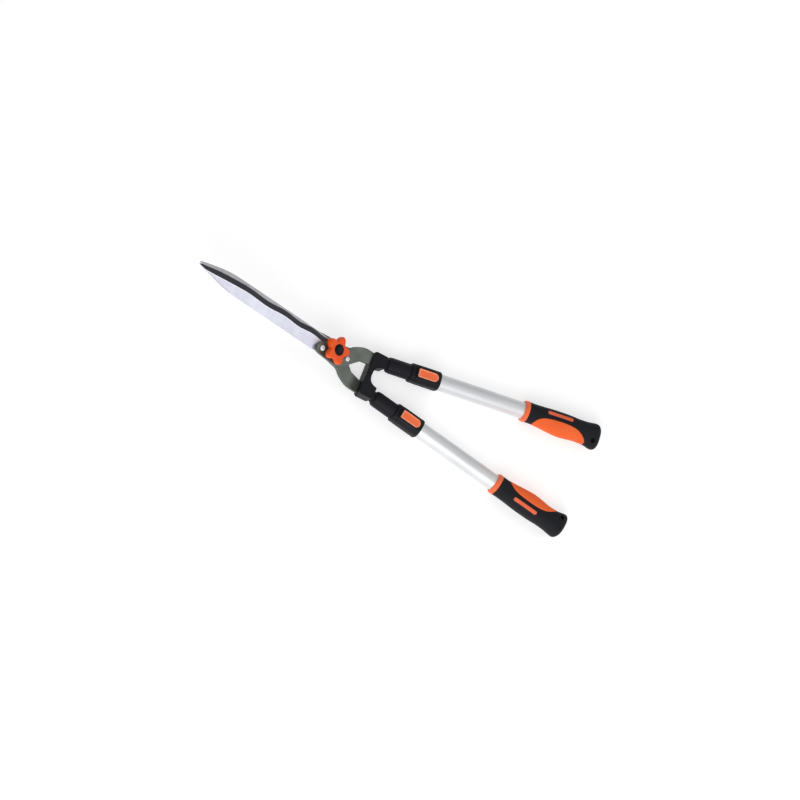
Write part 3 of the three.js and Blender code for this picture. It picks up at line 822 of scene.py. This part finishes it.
def pad_mesh(side):
    """A patch of the skin that stands slightly proud and rolls under at its border."""
    edge = monotone(PAD_TOP)
    start, end = PAD_TOP[0][0], PAD_TOP[-1][0]
    stations = [start, start + 0.4, *np.linspace(start + 1, end - 1, 90), end - 0.4, end]
    lines = 48
    rings = []
    for x in stations:
        share = min(abs(edge(x)) / BELLY(x), 0.999) ** (1 / GRIP_POWER)
        opening = math.acos(share)
        near_end = min(x - start, end - x)
        ring = []
        for k in range(lines + 1):
            t = 2 * k / lines - 1
            t = math.copysign(abs(t) ** 0.8, t)
            to_side = (1 - abs(t)) * opening * BELLY(x)
            border = min(to_side, near_end)
            lift = 0.35 - 1.2 * max(1 - border / 1.1, 0) ** 2
            ring.append(grip_point(x, math.pi + t * opening, lift))
        under = [grip_point(x, math.pi + t * opening, -1) for t in np.linspace(1, -1, lines + 1)]
        rings.append([(px, side * py, pz) for px, py, pz in [*ring, *under]])
    return loft("pad", rings)


INLAY = (281.5, 322, 6.5, 2.7)


def inlay_mesh(side):
    start, end, middle, half = INLAY
    rings = []
    for inset, lift in ((0, -1), (0, 0.0), (0.12, 0.2), (0.4, 0.34), (0.9, 0.38), (2.2, 0.4)):
        ring = []
        reach = half - inset
        for k in range(48):
            angle = 2 * math.pi * k / 48
            x = (end - half if math.cos(angle) > 0 else start + half) + reach * math.cos(angle)
            y = middle + reach * math.sin(angle)
            share = (y / (OUT(x) + lift)) ** (1 / GRIP_POWER)
            z = (1 - share * share) ** (GRIP_POWER / 2) * (HALF(x) + lift)
            ring.append((x, side * y, z))
        rings.append(ring)
    return loft("inlay", rings)


GRIP_RING = filleted([
    (246.5, 12.8), (246.5, 14.2, 0.7), (248.1, 15.3, 1), (249.5, 15.75, 0.5), (253.5, 15.75, 0.5),
    (253.5, 12.8),
], 0.2, 4)

for name, side in SIDES:
    half, slider, button = f"{name}_half", f"{name}_slider", f"{name}_button"
    handle = on_handle(side)
    place(f"{name}_bumper", bumper_mesh(side), on_bend(), half, "black_plastic")
    place(f"{name}_sleeve", lathe("sleeve", SLEEVE, 96), handle, half, "black_plastic")
    place(f"{name}_inner_tube", inner_tube_mesh(), handle, half, "anodised_tube", f"{name}_tube", sharp=30)
    outer_tube = lathe("outer_tube", OUTER_TUBE, 128, closed=True)
    place(f"{name}_outer_tube", outer_tube, handle, slider, "anodised_tube", f"{name}_tube")
    place(f"{name}_lock_collar", collar_mesh(), handle, slider, "black_plastic")
    collar_node = (f"{name}_lock_collar",)
    place(f"{name}_boss", boss_mesh(), handle, slider, "black_plastic", nodes=collar_node)
    place(f"{name}_lock_button", button_mesh(), handle, button, "orange_plastic", "coral_plastic")
    spring = place(f"{name}_lock_spring", spring_mesh(), handle, slider, "spring_steel")
    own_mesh(spring)
    ring = lathe("grip_ring", GRIP_RING, 112, closed=True)
    place(f"{name}_grip_ring", ring, handle, slider, "orange_plastic", "coral_plastic")
    place(f"{name}_grip_core", grip_mesh(side), handle, slider, "black_rubber")
    place(f"{name}_grip_pad", pad_mesh(side), handle, slider, "orange_rubber", sharp=70)
    place(f"{name}_grip_inlay", inlay_mesh(side), handle, slider, "orange_rubber", "inlay_rubber", sharp=60)

# ---- pivot ----------------------------------------------------------------------------------------

KNOB_TURN = math.radians(14.8)


def knob_ring(z, inset, count=180):
    ring = []
    for k in range(count):
        angle = 2 * math.pi * k / count
        lobe = (0.5 + 0.5 * math.cos(5 * (angle - KNOB_TURN))) ** 0.82
        radius = 13.9 + 7.2 * lobe - inset * (1 + 0.25 * (1 - lobe))
        ring.append((radius * math.cos(angle), radius * math.sin(angle), z))
    return ring


def knob_mesh():
    rows = [
        (24.6, 1.6), (24.75, 1.0), (25.2, 0.4), (25.9, 0.1), (26.8, 0), (30.6, 0), (31.6, 0.15), (32.4, 0.6),
        (33.05, 1.3), (33.45, 2.2), (33.6, 3.2),
    ]
    mesh = loft("knob", [knob_ring(z, inset) for z, inset in rows])
    recess = rod("recess", 8.4, 31.2, 40, sides=64)
    nut_room = rod("nut_room", 7.5, 20, 31.3, sides=6)
    return worked(mesh, recess, nut_room, edge=0.35, segments=3, angle=50)


def on_pivot():
    return in_metres(BLADES)


CAP = filleted([
    (31.9, 0), (31.9, 8), (34.2, 8, 0.5), (35.3, 7.1, 1), (35.9, 5, 1.5), (36.1, 2.5, 1),
    (36.1, 0),
], 0.2, closed=False)
BOLT = filleted([
    (0, 0), (0, 8.4, 0.3), (0.8, 9, 0.5), (3, 9, 0.6), (4.5, 7.4, 0.3), (4.5, 4, 0),
    (31.6, 4, 0.5), (31.6, 0),
], 0.2, closed=False)


def washer_profile(low, high, inside, outside):
    return filleted([(low, inside), (high, inside), (high, outside), (low, outside)], 0.25, 3)


place("knob", knob_mesh(), on_pivot(), "knob", "orange_plastic", sharp=50)
place("knob_cap", upright(lathe("cap", CAP, 80)), on_pivot(), "knob", "black_plastic", "black_gloss")
place("pivot_bolt", upright(lathe("bolt", BOLT, 72)), on_pivot(), "left_half", "zinc_steel")
flat_washer = lathe("flat_washer", washer_profile(21.5, 22.9, 4.3, 10), 72, closed=True)
spring_washer = lathe("spring_washer", washer_profile(23.1, 24.4, 4.3, 7.4), 72, closed=True)
place("flat_washer", upright(flat_washer), on_pivot(), "left_half", "zinc_steel")
place("spring_washer", upright(spring_washer), on_pivot(), "left_half", "zinc_steel", "spring_steel")

# ---- pieces shown as their CAD nodes, with the looks' materials --------------------------------------

HIDDEN_SLOTS = {
    "knob_nut": "brass", "tube_bush": "black_plastic", "lock_peg": "zinc_steel",
    "lock_pin": "zinc_steel",
}
for node_name, node in frame["nodes"].items():
    for ending, finish in HIDDEN_SLOTS.items():
        if node_name.endswith(ending):
            node.data.materials[0] = MATERIALS[finish]

# ---- studio ---------------------------------------------------------------------------------------

CAMERA_RIGHT = Vector((0.85355, 0.354, 0.38208)).normalized()
CAMERA_BACK = Vector((-0.28298, -0.3004, 0.91055)).normalized()
CAMERA_UP = CAMERA_BACK.cross(CAMERA_RIGHT).normalized()
TARGET = (BEND_POINT + 52.16 * CAMERA_RIGHT - 39.45 * CAMERA_UP) * MM
DISTANCE = 40
PICTURE_WIDTH = 1.156

camera = bpy.data.objects.new("camera", bpy.data.cameras.new("camera"))
scene.collection.objects.link(camera)
camera.data.sensor_width = 36
camera.data.lens = 36 * DISTANCE / PICTURE_WIDTH
camera.data.clip_start = 1
camera.data.clip_end = 200
turn = Matrix((CAMERA_BACK.cross(CAMERA_RIGHT).cross(CAMERA_BACK), CAMERA_UP, CAMERA_BACK)).transposed()
camera.matrix_world = Matrix.Translation(TARGET + CAMERA_BACK * DISTANCE) @ turn.to_4x4()
scene.camera = camera


def softbox(name, position, size, power):
    light = bpy.data.objects.new(name, bpy.data.lights.new(name, "AREA"))
    scene.collection.objects.link(light)
    light.data.shape, light.data.size, light.data.energy = "DISK", size, power
    light.location = position
    light.rotation_mode = "QUATERNION"
    light.rotation_quaternion = (TARGET - Vector(position)).to_track_quat("-Z", "Y")


softbox("key", (0.1, -1.9, 2.5), 2.2, 20)
softbox("blade_glow", (2.3, 0.8, 1.6), 1.8, 12)
softbox("low", (0.2, -2.4, 1.7), 3, 34)

floor_level = cad_bounds[0].z - 0.0005
floor_mesh = bpy.data.meshes.new("floor")
floor_mesh.from_pydata([(-6, -6, 0), (6, -6, 0), (6, 6, 0), (-6, 6, 0)], [], [(0, 1, 2, 3)])
floor = bpy.data.objects.new("floor", floor_mesh)
scene.collection.objects.link(floor)
floor.location.z = floor_level
paper = bpy.data.materials.new("paper")
paper.use_nodes = True
paper.node_tree.nodes["Principled BSDF"].inputs["Base Color"].default_value = (0.6, 0.6, 0.603, 1)
paper.node_tree.nodes["Principled BSDF"].inputs["Roughness"].default_value = 0.9
paper.node_tree.nodes["Principled BSDF"].inputs["Emission Color"].default_value = (1, 1, 1, 1)
paper.node_tree.nodes["Principled BSDF"].inputs["Emission Strength"].default_value = 0.56
floor_mesh.materials.append(paper)
floor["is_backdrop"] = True

world = bpy.data.worlds.new("studio")
scene.world = world
world.use_nodes = True
world.node_tree.nodes["Background"].inputs["Color"].default_value = (1, 1, 1, 1)
world.node_tree.nodes["Background"].inputs["Strength"].default_value = 0.42
scene.view_settings.view_transform = "Standard"

look_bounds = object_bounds()
sizes = {
    "cad": [list(corner) for corner in cad_bounds],
    "look": [list(corner) for corner in look_bounds],
}
